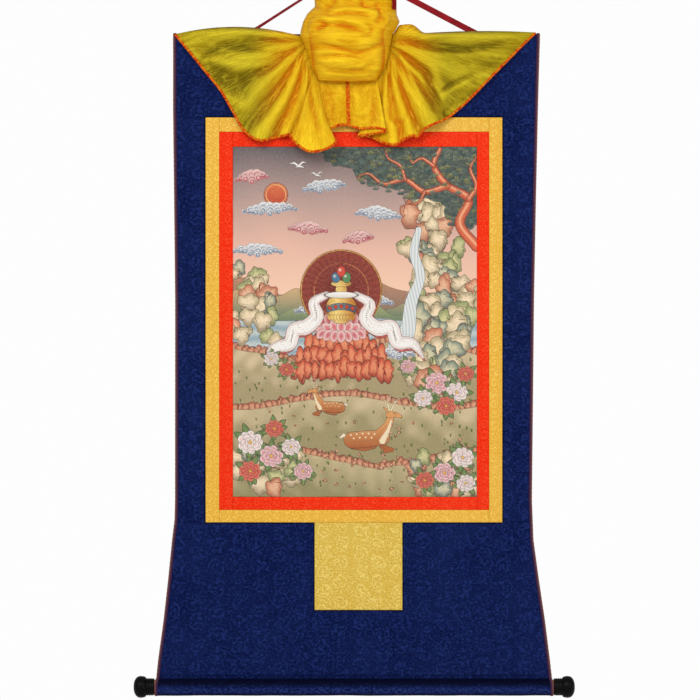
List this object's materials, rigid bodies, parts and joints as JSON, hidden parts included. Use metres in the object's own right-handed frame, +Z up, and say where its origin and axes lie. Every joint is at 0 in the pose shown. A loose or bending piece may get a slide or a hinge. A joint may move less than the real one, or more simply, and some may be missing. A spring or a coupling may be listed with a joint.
{
  "type": "thangka scroll painting",
  "caption": "Hanging scroll painting: a picture cloth in a brocade mount with gold and red borders, a roller with turned knobs, a hanging tape and a gathered silk veil.",
  "frame": {"origin": "top of the hanging loop, in the middle of the tape", "axes": "+X across the scroll to the viewer's right, +Y from its front to its back, +Z up"},
  "size_m": [0.5812, 0.0622, 0.9752],
  "materials": {
    "navy_brocade": "dark blue damask with a tone-on-tone scroll pattern",
    "side_binding": "matte brown tape",
    "gold_brocade": "golden damask with a satin sheen",
    "red_brocade": "orange-red fine mottled weave",
    "picture_cloth": "painted canvas, matte",
    "door_brocade": "yellow-gold damask",
    "veil_silk": "glossy thin yellow silk",
    "red_tape": "dark red satin tape",
    "knob_black": "black satin lacquer",
    "rod_wood": "plain turned wood"
  },
  "bodies": {
    "root": {"top_panel": "navy_brocade", "side_panel_left": "navy_brocade", "side_panel_right": "navy_brocade", "bottom_panel": "navy_brocade", "edge_binding_left": "side_binding", "edge_binding_right": "side_binding", "gold_border_top": "gold_brocade", "gold_border_bottom": "gold_brocade", "gold_border_left": "gold_brocade", "gold_border_right": "gold_brocade", "red_border_top": "red_brocade", "red_border_bottom": "red_brocade", "red_border_left": "red_brocade", "red_border_right": "red_brocade", "painting": "picture_cloth", "door_panel": "door_brocade", "roller": "rod_wood", "knob_left": "knob_black", "knob_right": "knob_black", "veil": "veil_silk", "hanging_ribbon": "red_tape", "veil_tie": "red_tape"}
  },
  "joints": []
}
